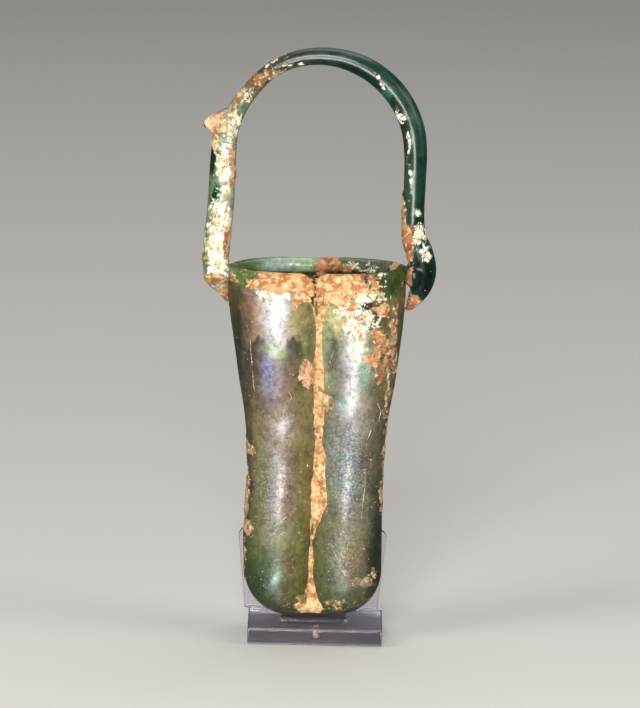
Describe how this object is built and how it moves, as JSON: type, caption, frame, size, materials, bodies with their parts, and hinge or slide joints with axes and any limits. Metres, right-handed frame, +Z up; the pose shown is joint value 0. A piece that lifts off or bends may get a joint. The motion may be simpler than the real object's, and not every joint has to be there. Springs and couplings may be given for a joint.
{
  "type": "twin-tube glass flask with basket handle on a clear stand",
  "caption": "Ancient blown-glass cosmetic flask of joined tubes with an arched basket handle, weathered and iridescent, held upright on a clear acrylic display stand.",
  "frame": {"origin": "centre of the base block's underside, where the stand rests on a table", "axes": "+Z up along the flask, +X to the right seen from the front, the front faces -Y"},
  "size_m": [0.0704, 0.0296, 0.179],
  "materials": {
    "weathered_glass": "green blown glass, dulled by an iridescent weathering film with flaking patches",
    "clear_acrylic": "clear cast acrylic with polished faces",
    "burial_crust": "rough orange-tan soil and lime crust, dry and matt"
  },
  "bodies": {
    "root": {"glass_bottle": "weathered_glass", "base_block": "clear_acrylic", "foot_pad": "clear_acrylic", "back_plate": "clear_acrylic"}
  },
  "joints": []
}
